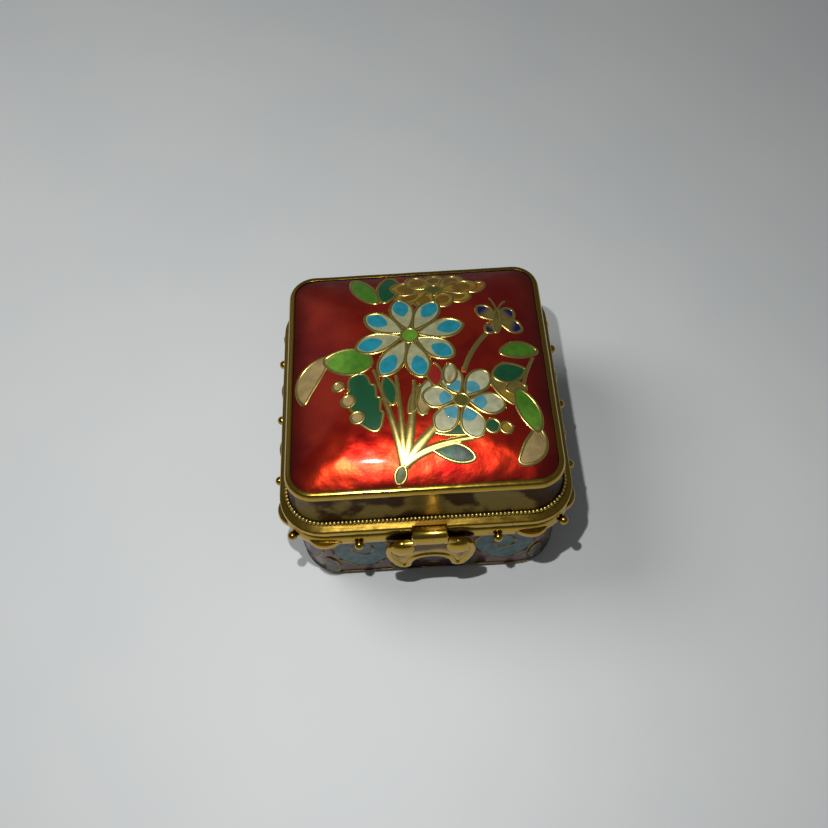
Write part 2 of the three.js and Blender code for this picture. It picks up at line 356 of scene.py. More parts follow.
def cell_enamel(name, coat, foil):
    polished = {"Coat_Weight": coat, "Coat_Roughness": 0.06, "Coat_IOR": 1.4}
    material, start, shader = new_finish(name, Metallic=foil, **polished)
    painted = start.node("ShaderNodeAttribute", {"attribute_name": "glass"}, out="Color")
    cloud = grain(start, 1.1, 4).between(0.3, 0.75)
    deeper = (cloud * 0.6).mixed(painted, rgb(0.42, 0.46, 0.36), kind="MULTIPLY")
    pinhole = grain(start, 0.22, 2).between(0.7, 0.76)
    (pinhole * 0.6).mixed(deeper, rgb(0.03, 0.025, 0.015)).into(shader, "Base Color")
    (0.36 + cloud * 0.15).into(shader, "Roughness")
    dented(start, shader, grain(start, 0.8, 3) - pinhole, 0.3, 0.05)
    return material


def counter_enamel(name, light, deep):
    material, start, shader = new_finish(name, Coat_Weight=0.8, Coat_Roughness=0.12)
    cloud = grain(start, 4.0, 5).between(0.3, 0.7)
    fleck = grain(start, 0.4, 2).between(0.64, 0.7)
    colour = cloud.mixed(light, deep)
    (fleck * 0.7).mixed(colour, rgb(0.012, 0.05, 0.06)).into(shader, "Base Color")
    (0.35 + cloud * 0.2).into(shader, "Roughness")
    dented(start, shader, grain(start, 1.5, 3), 0.4, 0.08)
    return material


cells_glass = cell_enamel("cell_enamel", 0.8, 0.2)
wall_glass = cell_enamel("wall_cell_enamel", 0.15, 0.05)
inside_blue = counter_enamel("counter_enamel", rgb(0.06, 0.30, 0.36), rgb(0.03, 0.19, 0.25))
print("cell and counter enamels ready")

# %% [markdown]
# ## From rows of points to a skin
# Nearly every piece here can be described as rows of points: the level cuts of a box, the sections of a
# wire, the rings round a hinge. `skin` stretches faces between neighbouring rows. A `Batch` gathers
# many small skins into one mesh, so that sixty petals and wires make one piece and not sixty.

# %% Skins and batches


def skin(rows, loop=False):
    """Quads between rows of points, each row closed. The ends are joined to each other or capped."""
    count, width = rows.shape[:2]
    faces = []
    for i in range(count if loop else count - 1):
        here, there = i * width, (i + 1) % count * width
        for j in range(width):
            k = (j + 1) % width
            faces.append((here + j, here + k, there + k, there + j))
    if not loop:
        faces.append(tuple(range(width))[::-1])
        faces.append(tuple(range((count - 1) * width, count * width)))
    return rows.reshape(-1, 3), faces


class Batch:
    """Small meshes gathered into one, each with its own glass colour."""

    def __init__(self):
        self.points = []
        self.faces = []
        self.glass = []
        self.count = 0

    def add(self, points, faces, glass=None):
        self.points.append(points)
        self.faces += [tuple(self.count + i for i in face) for face in faces]
        self.glass.append(np.zeros((len(points), 3)) if glass is None else glass)
        self.count += len(points)


def piece(name, batch, finish, body, stands_for=(), crease=40):
    """Makes one Blender object of a batch, closes its seams, and lets it ride on its body."""
    mesh = bpy.data.meshes.new(name)
    mesh.from_pydata((np.concatenate(batch.points) * MM).tolist(), [], batch.faces)
    glass = mesh.attributes.new("glass", "FLOAT_COLOR", "POINT")
    colours = np.ones((batch.count, 4))
    colours[:, :3] = np.concatenate(batch.glass)
    glass.data.foreach_set("color", colours.ravel())
    work = bmesh.new()
    work.from_mesh(mesh)
    bmesh.ops.remove_doubles(work, verts=work.verts, dist=0.004 * MM)
    bmesh.ops.dissolve_degenerate(work, edges=work.edges, dist=0.002 * MM)
    bmesh.ops.recalc_face_normals(work, faces=work.faces)
    work.to_mesh(mesh)
    work.free()
    mesh.shade_smooth()
    mesh.set_sharp_from_angle(angle=math.radians(crease))
    mesh.materials.append(finish)
    made = bpy.data.objects.new(name, mesh)
    bpy.context.scene.collection.objects.link(made)
    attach(made, body)
    if stands_for:
        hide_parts(*stands_for)
    triangles = sum(len(face.vertices) - 2 for face in mesh.polygons)
    print(name, "has", triangles, "triangles")
    return made


# %% [markdown]
# ## Turning a square
# The bowl, the rims, the lid's frame and its dome are all turned up from rounded squares, each level a
# little wider or rounder than the last. A profile lists the half width, height and corner radius of
# each level, and `eased` rounds its corners off, as filing and polishing do. Stamped metal is never
# quite true, so `hand` moves each point by a few hundredths of a millimetre.

# %% Rounded squares
CORNER_STEPS = 12
SIDE_STEPS = 22


def rounded_square(half, corner):
    """Plan points of a rounded square, counter-clockwise, the same number whatever its size."""
    corner = min(corner, half)
    turns = np.linspace(0, math.pi / 2, CORNER_STEPS + 1)
    arcs = []
    for side, (east, north) in enumerate(((1, 1), (-1, 1), (-1, -1), (1, -1))):
        turn = turns + side * math.pi / 2
        centre = np.array((east, north)) * (half - corner)
        arcs.append(centre + corner * np.stack((np.cos(turn), np.sin(turn)), axis=1))
    share = np.linspace(0, 1, SIDE_STEPS + 1)[1:-1, None]
    ring = []
    for side in range(4):
        ring.append(arcs[side])
        ring.append(arcs[side][-1] * (1 - share) + arcs[(side + 1) % 4][0] * share)
    return np.concatenate(ring)


def eased(profile, reach, steps=4, loop=False):
    """Rounds each corner of a profile with a short curve that starts and ends `reach` from it."""
    points = np.array(profile, float)
    count = len(points)
    curve = []
    for i in range(count):
        if not loop and i in (0, count - 1):
            curve.append(points[i])
            continue
        before, here, after = points[i - 1], points[i], points[(i + 1) % count]
        into = np.linalg.norm((here - before)[:2])
        out = np.linalg.norm((after - here)[:2])
        start = here + (before - here) * min(reach / into, 0.45)
        end = here + (after - here) * min(reach / out, 0.45)
        for t in np.linspace(0, 1, steps):
            curve.append((1 - t) ** 2 * start + 2 * t * (1 - t) * here + t * t * end)
    return np.array(curve)


def hand(points, amount, size):
    """The slight unevenness of hand work: each point moves by up to `amount`, smoothly over `size`."""
    moved = points.copy()
    for point in moved:
        drift = noise.noise_vector(Vector(point) / size)
        point += amount * np.array(drift)
    return moved


def squares(profile):
    """One row of points for each level of a profile."""
    rows = []
    for half, height, corner in profile:
        ring = rounded_square(max(half, 0), max(corner, 0))
        rows.append(np.column_stack((ring, np.full(len(ring), height))))
    return np.array(rows)


print("a level has", len(rounded_square(10, 2)), "points")

# %% [markdown]
# ## The lid's frame
# The frame is stamped from sheet brass in one piece: a rounded rim where it shuts, a crease, a
# hollow-curved wall, and a bezel that is rubbed over the edge of the dome. Its profile is a closed
# loop, because the sheet has a thickness. We give the corners of that loop, ease them and turn it.

# %% Lid frame
crease_height = lid_foot + 2.45
bezel_foot = plaque_edge - 1.5
wall_half = plaque_half + 0.6
wall_corner = 4.0
rim_corner = 6.4
seat = plaque_edge - metal - 0.3
wall_inside = wall_half - metal

lid_profile = [
    (rim_half - 1.8, lid_foot, rim_corner - 1.8),
    (rim_half - 0.4, lid_foot, rim_corner - 0.4),
    (rim_half, lid_foot + 0.6, rim_corner),
    (rim_half, lid_foot + 0.95, rim_corner),
    (rim_half - 0.06, lid_foot + 1.4, rim_corner - 0.05),
    (rim_half - 1.35, lid_foot + 1.81, rim_corner - 1.2),
    (rim_half - 1.4, lid_foot + 2.3, rim_corner - 1.2),
    (wall_half + 0.6, crease_height + 0.4, wall_corner + 1.2),
    (wall_half + 0.15, (crease_height + bezel_foot) / 2, wall_corner + 0.5),
    (wall_half, bezel_foot, wall_corner),
    (wall_half + 0.25, bezel_foot + 0.3, wall_corner),
    (wall_half + 0.3, plaque_edge - 0.6, wall_corner),
    (wall_half + 0.05, plaque_edge, wall_corner - 0.3),
    (plaque_half + 0.35, plaque_edge + 0.12, 3.35),
    (plaque_half - 0.1, plaque_edge + 0.16, 2.9),
    (plaque_half + 0.1, plaque_edge - 0.05, 3.1),
    (plaque_half + 0.3, seat, 3.3),
    (wall_inside - 0.8, seat, 2.6),
    (wall_inside - 0.8, seat - 0.8, 2.6),
    (wall_inside, seat - 1.6, 3.0),
    (wall_inside, crease_height + 0.4, 3.0),
    (rim_half - 1.8, crease_height - 0.8, rim_corner - 1.8),
]
lid_frame = Batch()
points, faces = skin(squares(eased(lid_profile, 0.24, loop=True)), loop=True)
lid_frame.add(hand(points, 0.03, 4.0), faces)
framed = piece("lid_frame_brass", lid_frame, rim_gold, "lid", ["lid_frame"], crease=55)
# The hollow-curved wall between the crease and the bezel takes the darker wall brass: painted shade.
framed.data.materials.append(wall_gold)
for face in framed.data.polygons:
    if crease_height < face.center.z / MM < bezel_foot + 0.1:
        face.material_index = 1

# %% [markdown]
# ## The dome
# The dome is a shallow cushion: nearly flat in the middle, falling away faster towards a squarish edge.
# One formula gives its height from the edge inwards, and the same formula turned round tells how high
# the glass is above any spot of its plan. Everything that is inlaid later asks it where to lie. Molten
# glass pools in the gutter by the bezel, so each corner of the mesh also notes how thick it lies there.

# %% Dome, its height anywhere, and its glass ground


def dome_level(t):
    """Half width, height and corner radius of the dome's level, from 0 at the edge to 1 in the middle."""
    half = plaque_half * (1 - t)
    return half, plaque_edge + dome_rise * (1 - (1 - t) ** 3), 3.0 + (half - 3.0) * t * t


def dome_height(x, y):
    """Height of the glass above each spot of the plan, found by halving the range of levels."""
    low, high = np.zeros_like(x), np.ones_like(x)
    for _ in range(24):
        t = (low + high) / 2
        half = plaque_half * (1 - t)
        corner = np.minimum(3.0 + (half - 3.0) * t * t, half)
        beyond_x = np.maximum(np.abs(x) - (half - corner), 0)
        beyond_y = np.maximum(np.abs(y) - (half - corner), 0)
        outside = np.where(
            np.minimum(beyond_x, beyond_y) > 0,
            np.hypot(beyond_x, beyond_y) > corner,
            np.maximum(np.abs(x), np.abs(y)) > half,
        )
        high = np.where(outside, t, high)
        low = np.where(outside, low, t)
    return plaque_edge + dome_rise * (1 - (1 - (low + high) / 2) ** 3)


def on_dome(spots, lift):
    """Lays plan points on the glass, `lift` above it."""
    spots = np.asarray(spots, float)
    return np.concatenate((spots, (dome_height(spots[..., 0], spots[..., 1]) + lift)[..., None]), axis=-1)


levels = np.linspace(0, 1, 46) ** 1.25
top = np.array([dome_level(t) for t in levels])
under = top - (0, metal, 0)
under[:, 0] = np.maximum(under[:, 0] - 0.3 * (1 - levels), 0)
rows = squares(np.concatenate((under[::-3], top)))
points, faces = skin(rows)
pooled = np.concatenate((np.zeros(len(under[::-3])), np.clip(1 - levels / 0.2, 0, 1) ** 1.5))
ground = Batch()
pooled = np.repeat(pooled[:, None], 3, axis=1).repeat(rows.shape[1], axis=0)
ground.add(hand(points, 0.025, 5.0), faces, pooled)
dome = piece("lid_enamel_ground", ground, red_ground, "lid", ["lid_plaque"], crease=60)
dome.data.materials.append(inside_blue)
for face in dome.data.polygons:
    if face.normal.z < -0.2:
        face.material_index = 1
middle = dome_height(np.array([0.0]), np.array([0.0]))[0]
print("the dome rises to", round(float(middle), 2))

# %% [markdown]
# ## The bowl
# The bowl is one copper shell, raised from sheet, with its walls leaning out a little. Glass was fired
# on both of its sides, because glass on one side alone would warp the metal: a rich one outside and a
# plain counter enamel inside and underneath.

# %% Bowl
base_half = bowl_half - 0.2
floor_top = 1.2

bowl_profile = [
    (0, 0, 0),
    (base_half - 0.4, 0, 6),
    (base_half, 0.4, 6),
    (base_half + 0.1, bowl_top / 2, 6),
    (bowl_half, bowl_top, 6),
    (bowl_half - metal, bowl_top, 6 - metal),
    (base_half - metal, floor_top + 1, 6 - metal),
    (base_half - metal - 0.8, floor_top, 6 - metal),
    (0, floor_top, 0),
]
points, faces = skin(squares(eased(bowl_profile, 0.35)))
shell = Batch()
shell.add(hand(points, 0.02, 6.0), faces)
bowl = piece("bowl_enamelled", shell, maroon_ground, "bowl_body", ["bowl"], crease=50)
bowl.data.materials.append(inside_blue)
for face in bowl.data.polygons:
    centre = face.center / MM
    leans_out = face.normal.x * centre.x + face.normal.y * centre.y > 0.3 * centre.xy.length
    if not leans_out or abs(face.normal.z) > 0.8:
        face.material_index = 1
print("bowl is", round(float(bowl_half * 2), 1), "mm wide")

# %% [markdown]
# ## The bowl's brass rim
# A brass band is rubbed over the bowl's edge. Its edging is applied: round granules and low flat lobes
# by turns, with a granule on each corner. Places along it are measured from the middle of a side, first
# straight and then round the corner, which is how a maker would step them off with dividers.

# %% Rim band, granules and lobes
front_pitch = 4.9
side_pitch = 5.2
edging_height = 15.0
granule_radius = 0.7
lobe_half = 2.2
lobe_proud = 0.7


def around(distance, half, corner, out=0.0):
    """Plan points at distances round a rounded square, from the middle of its front, `out` from it."""
    straight = half - corner
    length = 2 * straight + corner * math.pi / 2
    side = np.round(distance / length)
    local = distance - side * length
    slid = np.clip(local, -straight, straight)
    turn = (local - slid) / corner
    x = slid + (corner + out) * np.sin(turn)
    y = -straight - (corner + out) * np.cos(turn)
    quarter = side * math.pi / 2
    return x * np.cos(quarter) - y * np.sin(quarter), x * np.sin(quarter) + y * np.cos(quarter)


def ball(centre, radius, around=14, rings=9, squash=(1, 1, 1)):
    """Rows of a round bead about a point, from its lowest ring to its highest."""
    turn = np.linspace(0, 2 * math.pi, around, endpoint=False)
    rise = np.linspace(-math.pi / 2, math.pi / 2, rings + 2)
    rows = np.stack((
        np.outer(np.cos(rise), np.cos(turn)),
        np.outer(np.cos(rise), np.sin(turn)),
        np.outer(np.sin(rise), np.ones(around)),
    ), axis=-1)
    return rows * radius * np.array(squash) + np.array(centre)


def lobe(distance):
    """Rows of a low flat lobe rooted in the rim, from one of its ends to the other."""
    radius = (lobe_half**2 + lobe_proud**2) / (2 * lobe_proud)
    rows = []
    for t in np.linspace(-1, 1, 15):
        proud = math.sqrt(radius**2 - (t * lobe_half) ** 2) - radius + lobe_proud
        outline = [(-0.7, -0.45), (proud - 0.12, -0.5), (proud, -0.3), (proud + 0.02, 0.0)]
        outline += [(out, -rise) for out, rise in reversed(outline[:3])]
        out = np.array([o for o, _ in outline])
        x, y = around(np.full(len(out), distance + t * lobe_half), rim_half, rim_corner, out)
        rows.append(np.column_stack((x, y, edging_height + np.array([r for _, r in outline]))))
    return np.array(rows)


rim_bottom = bowl_top + 0.3
rim_top = rim_high[2]
band_inside = bowl_half - metal
band_profile = [
    (band_inside, rim_bottom, rim_corner - (rim_half - band_inside)),
    (rim_half - 0.5, rim_bottom, rim_corner - 0.5),
    (rim_half - 0.05, rim_bottom + 0.8, rim_corner),
    (rim_half, edging_height, rim_corner),
    (rim_half - 0.1, rim_top - 0.6, rim_corner),
    (rim_half - 0.5, rim_top, rim_corner - 0.5),
    (band_inside, rim_top, rim_corner - (rim_half - band_inside)),
]
rim = Batch()
points, faces = skin(squares(eased(band_profile, 0.3, loop=True)), loop=True)
rim.add(hand(points, 0.03, 4.0), faces)
rim_side = 2 * (rim_half - rim_corner) + rim_corner * math.pi / 2
for side in range(4):
    pitch, bare = (front_pitch, 1) if side % 2 == 0 else (side_pitch, -1)
    places = [(k * pitch, k % 2 == 0) for k in range(-3, 4) if abs(k) > bare]
    for distance, is_granule in places + [(rim_side / 2, True)]:
        distance += side * rim_side
        if is_granule:
            x, y = around(distance, rim_half, rim_corner, 0.5)
            rim.add(*skin(ball((x, y, edging_height), granule_radius)))
        else:
            rim.add(*skin(lobe(distance)))
piece("bowl_rim_brass", rim, rim_gold, "bowl_body", ["bowl_rim"], crease=45)

# %% [markdown]
# ## The milled wire
# In the crease of the lid lies a beaded wire, made by rolling a plain one between milled plates. Under
# a lamp each bead catches its own spark. We set small beads round the crease at an even pitch.

# %% Milled wire
bead_radius = 0.29
bead_pitch = 0.56
crease = rounded_square(wall_half + 0.9, wall_corner + 1.4)
crease = np.vstack((crease, crease[:1]))
walked = np.concatenate(([0], np.cumsum(np.linalg.norm(np.diff(crease, axis=0), axis=1))))
bead_count = int(walked[-1] / bead_pitch)
milled = Batch()
for stop in np.arange(bead_count) * walked[-1] / bead_count:
    x = np.interp(stop, walked, crease[:, 0])
    y = np.interp(stop, walked, crease[:, 1])
    milled.add(*skin(ball((x, y, crease_height - 0.18), bead_radius, around=8, rings=4)))
piece("milled_wire", milled, wire_gold, "lid")
print("the wire has", bead_count, "beads")

# %% [markdown]
# ## The clasp
# The clasp hangs from the lid's rim in front of the bowl: a neck, and two lobes that curl down and end
# in round tips, each with a domed boss. It is cast flat and filed, so we draw its outline once, with
# arcs and curves, and stack that outline in slightly smaller copies to round its edges. The last copies
# sink again, which leaves a raised border. A bent strap holds the plate to the rim.

# %% Clasp


def curve(start, bend, end, steps=8):
    """Points of a curve that leaves towards a bend and arrives from it, without its first point."""
    t = np.linspace(0, 1, steps + 1)[1:, None]
    return (1 - t) ** 2 * np.array(start) + 2 * t * (1 - t) * np.array(bend) + t * t * np.array(end)


def arc(centre, radius, start, end, steps=10):
    turn = np.linspace(start * math.pi, end * math.pi, steps + 1)
    return np.array(centre) + radius * np.stack((np.cos(turn), np.sin(turn)), axis=1)


def inset(outline, amount):
    """The outline moved inwards by an amount, along the middle of its two edges at each point."""
    edge = np.roll(outline, -1, axis=0) - outline
    normal = np.stack((-edge[:, 1], edge[:, 0]), axis=1)
    normal /= np.linalg.norm(normal, axis=1, keepdims=True)
    middle = normal + np.roll(normal, 1, axis=0)
    middle /= np.maximum((middle**2).sum(axis=1, keepdims=True), 0.6) / 2
    return outline + middle * amount


def cleaned(outline, apart=0.02):
    """Drops points that fall on the one before."""
    kept = [p for p, q in zip(outline, np.roll(outline, 1, axis=0)) if np.linalg.norm(p - q) > apart]
    return np.array(kept)


def slab(outline, thick, edge):
    """Rows of a flat plate of an outline, with its edges rounded: (u, v, depth)."""
    layers = [(edge, 0), (edge * 0.3, edge * 0.3), (0, edge)]
    layers += [(amount, thick - depth) for amount, depth in reversed(layers)]
    return np.array([
        np.column_stack((inset(outline, amount), np.full(len(outline), depth))) for amount, depth in layers
    ])


clasp_x = (clasp_low[0] + clasp_high[0]) / 2
clasp_tip = clasp_low[2]
clasp_top = clasp_high[2]
clasp_back = 21.5
neck = 2.5
lobe_centre = 3.9
shoulder_half = 6.4
tip_radius = 1.05
boss_radius = 1.8
boss_height = 14.9
boss_sunk = 0.36


def half_clasp():
    """Right half of the clasp's outline, from the middle of the notch up to the neck."""
    shoulder = clasp_top - 1.8
    notch = clasp_tip + 3.6
    tip = (lobe_centre, clasp_tip + tip_radius)
    flank = (shoulder_half, clasp_tip + 5.4)
    return np.concatenate((
        [(0, notch)],
        curve((0, notch), (neck, notch), (lobe_centre - tip_radius, tip[1])),
        arc(tip, tip_radius, 1.0, 1.8),
        curve((lobe_centre + 0.9, tip[1] - 0.6), (shoulder_half - 0.2, tip[1] + 1.6), flank),
        curve(flank, (shoulder_half, shoulder), (neck, shoulder)),
        [(neck, clasp_top - 0.5)],
    ))


right = half_clasp()
outline = cleaned(np.concatenate((right, (right * (-1, 1))[::-1][:-1])))
rows = slab(outline, metal, 0.22)
for amount, depth in ((0.6, metal), (0.75, metal - 0.08), (0.85, metal - 0.25)):
    sunk = np.column_stack((inset(outline, amount), np.full(len(outline), depth)))
    rows = np.concatenate((rows, sunk[None]))
clasp = Batch()
clasp.add(*skin(np.stack((rows[..., 0] + clasp_x, -clasp_back - rows[..., 2], rows[..., 1]), axis=-1)))
front = clasp_back + metal
for side in (-1, 1):
    centre = (clasp_x + side * lobe_centre, boss_sunk - front, boss_height)
    clasp.add(*skin(ball(centre, boss_radius, around=28, rings=15, squash=(1, 0.55, 1))))
bend = [
    (-rim_half + 0.5, -0.25),
    (-rim_half - 0.4, 0.1),
    (-clasp_back - 0.3, 0.05),
    (-front + 0.15, -0.25),
    (-front - 0.06, -0.7),
    (-front - 0.06, -1.9),
    (-front + 0.3, -2.2),
    (-rim_half - 0.35, -1.5),
    (-rim_half - 0.1, -0.6),
]
rows = slab(np.array(bend[::-1]) + (0, clasp_top), 2 * neck - 0.2, 0.12)
clasp.add(*skin(np.stack((clasp_x - neck + 0.1 + rows[..., 2], rows[..., 0], rows[..., 1]), axis=-1)))
piece("clasp_brass", clasp, rim_gold, "lid", ["clasp"], crease=40)

# %% [markdown]
# ## The hinge
# Three knuckles turn on one pin: the outer two belong to the bowl's leaf, the middle one to the lid's.
# Each knuckle is a short tube, so its section is a small closed loop swept round the pin's axis. The
# leaves are plates of sheet brass, soldered to the back of the rims.

# %% Hinge leaves and pin
hinge = frame["joints"][0]
hinge_x, hinge_y, hinge_z = np.array(hinge["pos_m"]) / MM
barrel = 1.5
bore = 0.8
lid_knuckle = 2.6
bowl_knuckle = (3.35, pin_high[0] - hinge_x)
leaf = 0.7


def turned(section, sides):
    """Rows of points round the hinge's axis, one for each place along it and radius of a section."""
    turn = np.linspace(0, 2 * math.pi, sides, endpoint=False)
    return np.array([
        np.column_stack((np.full(sides, hinge_x + x), hinge_y + r * np.cos(turn), hinge_z + r * np.sin(turn)))
        for x, r in section
    ])


def knuckle(start, end):
    """Rows of a tube, from one end of it to the other and back through."""
    section = [(start, bore), (start, barrel - 0.15), (start + 0.15, barrel)]
    section += [(end - 0.15, barrel), (end, barrel - 0.15), (end, bore)]
    return turned(section, 36)


def strap(side_view, start, end):
    """A strap of a given side view, from one place along the hinge to another."""
    rows = slab(np.array(side_view, float), end - start, 0.1)
    return np.stack((hinge_x + start + rows[..., 2], rows[..., 0], rows[..., 1]), axis=-1)


near = rim_half + 0.3
far = near + leaf
low = bowl_top + 0.6
high = lid_foot - 0.55
bowl_leaf = Batch()
plate = [(near, low), (far, low), (far, high), (near, high)]
bowl_leaf.add(*skin(strap(plate, -bowl_knuckle[1], bowl_knuckle[1])))
for start, end in (bowl_knuckle, (-bowl_knuckle[1], -bowl_knuckle[0])):
    bowl_leaf.add(*skin(knuckle(start, end), loop=True))
    arm = [(near, low + 0.6), (far, low), (hinge_y + 1, hinge_z - 1), (hinge_y - 1.1, hinge_z - 0.75)]
    bowl_leaf.add(*skin(strap(arm + [(near + 0.3, high), (near, high)], start, end)))
piece("hinge_bowl_leaf_brass", bowl_leaf, rim_gold, "bowl_body", ["hinge_bowl_leaf"], crease=35)

near = wall_half + 1.25
far = near + leaf
low = crease_height + 0.2
lid_leaf = Batch()
lid_leaf.add(*skin(knuckle(-lid_knuckle, lid_knuckle), loop=True))
arm = [(near, low), (hinge_y - 0.6, low - 0.2), (hinge_y - 0.1, hinge_z + 1.3), (hinge_y - 1, low + 1.1)]
arm += [(far, low + 1.3), (far, low + 3), (near, low + 3.2)]
lid_leaf.add(*skin(strap(arm, -lid_knuckle, lid_knuckle)))
piece("hinge_lid_leaf_brass", lid_leaf, rim_gold, "lid", ["hinge_lid_leaf"], crease=35)

pin_radius = 0.6
pin_half = bowl_knuckle[1]
pin = Batch()
section = [(-pin_half, 0.42), (-pin_half + 0.12, pin_radius)]
section += [(-x, r) for x, r in section[::-1]]
pin.add(*skin(turned(section, 24)))
piece("hinge_pin_brass", pin, rim_gold, "bowl_body", ["hinge_pin"], crease=35)

# %% [markdown]
# ## Drawing with wire
# Cloisonne means parted: flat wire is bent to the drawing, stood on edge and soldered down, and each
# space between wires is filled with its own glass. Here a drawing is a list of leaf-shaped cells on a
# flat sheet. A `Sheet` knows how to lay that sheet on the dome or round the bowl, and it is worked from
# the nearest shape to the farthest: a wire stops where it would run under a shape that is already there.

# %% Cells and wires on a sheet
wire_wide = 0.46
wire_high = 0.13


def inside(spots, outline):
    """Which spots lie within a closed outline: those whose ray crosses it an odd number of times."""
    x, y = spots[:, 0, None], spots[:, 1, None]
    x0, y0 = outline.T
    x1, y1 = np.roll(outline, -1, axis=0).T
    rises = (y0 > y) != (y1 > y)
    crossing = x0 + (y - y0) / np.where(y1 == y0, 1, y1 - y0) * (x1 - x0)
    return (rises & (x < crossing)).sum(axis=1) % 2 == 1


def paced(path, pace, closed):
    """The same path with its points at an even pace."""
    if closed:
        path = np.vstack((path, path[:1]))
    walked = np.concatenate(([0], np.cumsum(np.linalg.norm(np.diff(path, axis=0), axis=1))))
    count = max(int(walked[-1] / pace), 4)
    stops = np.linspace(0, walked[-1], count + 1)
    if closed:
        stops = stops[:-1]
    return np.column_stack([np.interp(stops, walked, path[:, i]) for i in (0, 1)])


class Sheet:
    """A flat drawing of cells and wires that is laid on a curved surface."""

    def __init__(self, lay):
        self.lay = lay
        self.glass = Batch()
        self.wires = Batch()
        self.drawn = []
        self.level = 0.075

    def wire(self, path, width=wire_wide, closed=False):
        """Solders an arched wire along a path, where nothing nearer covers it."""
        path = paced(np.asarray(path, float), 0.3, closed)
        marks = np.linspace(0, 1, np.size(width))
        widths = np.interp(np.linspace(0, 1, len(path)), marks, np.atleast_1d(width))
        covered = np.zeros(len(path), bool)
        for outline in self.drawn:
            covered |= inside(path, outline)
        ahead = np.roll(path, -1, axis=0) - np.roll(path, 1, axis=0)
        if not closed:
            ahead[0], ahead[-1] = path[1] - path[0], path[-1] - path[-2]
        ahead /= np.maximum(np.linalg.norm(ahead, axis=1, keepdims=True), 1e-9)
        side = np.stack((-ahead[:, 1], ahead[:, 0]), axis=1)
        section = ((-0.5, -0.08), (-0.36, 0.75), (0, 1.0), (0.36, 0.75), (0.5, -0.08))
        rows = np.stack(
            [self.lay(path + side * (widths * share)[:, None], self.level * 0.6 + wire_high * rise)
             for share, rise in section], axis=1)
        if closed and not covered.any():
            self.wires.add(*skin(rows, loop=True))
            return
        if closed:
            start = int(np.argmax(covered))
            rows, covered = np.roll(rows, -start, axis=0), np.roll(covered, -start)
        runs = np.flatnonzero(np.diff(np.concatenate(([1], covered.astype(int), [1]))))
        for first, last in zip(runs[::2], runs[1::2]):
            if last - first > 2:
                self.wires.add(*skin(rows[first:last]))

    def cell(
        self, root, tip, width, near, far=None, bend=0.0, belly=1.0, blunt=0.6, teeth=0, change=0.5, edge=True
    ):
        """Fills a leaf-shaped cell with glass, from one colour at its root to another at its tip."""
        root, tip = np.array(root, float), np.array(tip, float)
        s = np.linspace(0, 1, 34)
        middle = (root + tip) / 2 + np.array((root[1] - tip[1], tip[0] - root[0])) * bend
        spine = np.vstack((root[None], curve(root, middle, tip, len(s) - 1)))
        ahead = np.gradient(spine, axis=0)
        ahead /= np.linalg.norm(ahead, axis=1, keepdims=True)
        side = np.stack((-ahead[:, 1], ahead[:, 0]), axis=1)
        half = width / 2 * np.sin(math.pi * s**belly).clip(0) ** blunt
        if teeth:
            half = half * (1 - 0.28 * (s * teeth % 1))
        share = np.array((-1, -0.7, -0.35, 0, 0.35, 0.7, 1, 0.95, -0.95))
        lift = self.level + np.array((0, 0.02, 0.03, 0.03, 0.03, 0.02, 0, -0.2, -0.2))
        rows = np.stack(
            [self.lay(spine + side * (half * u)[:, None], up) for u, up in zip(share, lift)], axis=1)
        blend = np.clip((s - change) / 0.25 + 0.5, 0, 1)[:, None]
        colours = np.array(GLASS[near]) * (1 - blend) + np.array(GLASS[far or near]) * blend
        self.glass.add(*skin(rows), np.repeat(colours, len(share), axis=0))
        outline = np.concatenate((spine + side * half[:, None], (spine - side * half[:, None])[-2:0:-1]))
        if edge:
            self.wire(outline, closed=True)
        self.drawn.append(outline)

    def spot(self, start, end, width, colour):
        """A drop of a second glass that runs into the cell below it, with no wire round it."""
        self.level += 0.03
        self.cell(start, end, width, colour, belly=1.1, blunt=0.6, edge=False)
        self.drawn.pop()
        self.level -= 0.03

    def dot(self, centre, radius, colour, edge=True):
        """Fills a round cell."""
        x, y = centre
        self.cell((x - radius, y), (x + radius, y), 2 * radius, colour, blunt=0.5, edge=edge)

    def deeper(self):
        """Goes on to shapes that lie behind the ones drawn so far."""
        self.level = max(self.level - 0.025, 0.0)


# %% [markdown]
# ## The pots of glass
# An enameller keeps each ground glass in its own pot. These are the ones this box needs: blues, a cream,
# a pale shell white, ambers, greens, a navy for the butterfly and a lively red for the bud. The bowl's
# glasses are darker copies, painted shade, because its wall faces down towards the table and lies in shade.

# %% Glass colours
GLASS = {
    "turquoise": (0.012, 0.25, 0.34),
    "pale blue": (0.07, 0.3, 0.38),
    "cream": (0.36, 0.35, 0.19),
    "shell": (0.44, 0.43, 0.27),
    "peach": (0.36, 0.25, 0.1),
    "khaki": (0.16, 0.12, 0.025),
    "amber": (0.17, 0.085, 0.004),
    "honey": (0.3, 0.18, 0.012),
    "orange": (0.33, 0.1, 0.005),
    "olive": (0.08, 0.08, 0.008),
    "leaf": (0.06, 0.2, 0.008),
    "forest": (0.002, 0.075, 0.024),
    "apple": (0.12, 0.3, 0.02),
    "navy": (0.006, 0.003, 0.075),
    "bud red": (0.30, 0.008, 0.002),
    "rose": (0.045, 0.004, 0.01),
    "teal": (0.006, 0.06, 0.07),
    "sage": (0.02, 0.045, 0.03),
    "wall blue": (0.012, 0.10, 0.115),
    "wall pale": (0.03, 0.13, 0.14),
    "wall pink": (0.10, 0.03, 0.025),
}
print("pots of glass:", len(GLASS))

# %% [markdown]
# ## The spray on the lid
# A bunch of flowers fans out from the front edge: a daisy with blue-tipped petals in the middle, a
# white flower on the right, an amber one behind, leaves to both sides and a butterfly above. Each
# flower is one loop of petals. The plan is in millimetres from the middle of the lid.

# %% Spray of flowers


